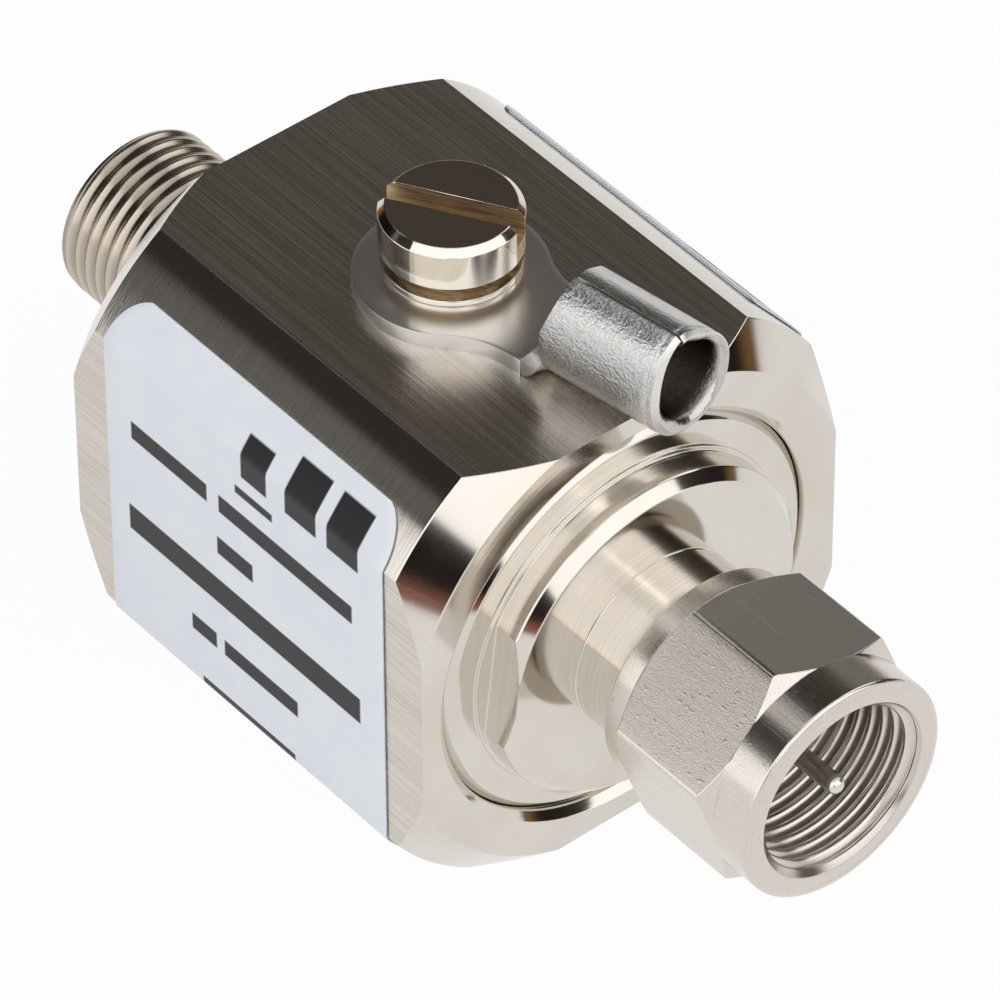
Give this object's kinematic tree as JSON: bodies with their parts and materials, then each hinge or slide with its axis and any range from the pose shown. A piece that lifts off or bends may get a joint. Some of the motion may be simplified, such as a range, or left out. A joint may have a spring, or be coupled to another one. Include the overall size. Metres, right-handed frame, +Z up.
{
  "type": "coax lightning arrestor",
  "caption": "In-line coaxial surge arrestor: square-flatted turned body, plug with captive hex nut, threaded jack, earth screw with crimp ring lug.",
  "frame": {"origin": "middle of the whole part's underside, on the body's bottom flat", "axes": "+X along the coax axis towards the plug, +Z up towards the earth screw, +Y to the right of the plug's direction seen from behind, label faces at -Y and +Y"},
  "size_m": [0.0532, 0.0256, 0.0318],
  "materials": {
    "body_nickel": "nickel plate over milled and turned brass, brushed along the flats",
    "bright_nickel": "bright nickel plate over turned brass",
    "nut_nickel": "satin nickel plate over turned brass",
    "jack_nickel": "bright nickel plate over a fine thread",
    "screw_nickel": "bright nickel plate, brassy in the recesses",
    "conductor_metal": "dull plated brass",
    "contact_bronze": "spring bronze",
    "tinned_copper": "tin plate over stamped copper sheet, matte",
    "spring_steel": "bright spring steel",
    "electrode_metal": "matte plated steel",
    "seal_rubber": "soft black rubber",
    "white_insulator": "white fluoropolymer, waxy",
    "tube_ceramic": "unglazed alumina",
    "label_vinyl": "white vinyl film with plain grey print fields"
  },
  "bodies": {
    "arrestor": {"body": "body_nickel", "plug_flange": "bright_nickel", "flange_seal": "seal_rubber", "retaining_ring": "spring_steel", "plug_insulator": "white_insulator", "centre_conductor": "conductor_metal", "jack_barrel": "jack_nickel", "line_bead": "white_insulator", "jack_insulator": "white_insulator", "jack_contact": "contact_bronze", "gas_tube_ceramic": "tube_ceramic", "lower_electrode": "electrode_metal", "upper_electrode": "electrode_metal", "contact_spring": "contact_bronze", "earth_screw": "screw_nickel", "screw_washer": "screw_nickel", "ring_lug": "tinned_copper", "left_label": "label_vinyl", "right_label": "label_vinyl"},
    "nut": {"coupling_nut": "nut_nickel"}
  },
  "joints": [
    {"name": "nut_spin", "type": "hinge", "parent": "arrestor", "child": "nut", "pos_m": [0.02148, 0, 0.0127], "axis": [1, 0, 0], "continuous": true}
  ]
}
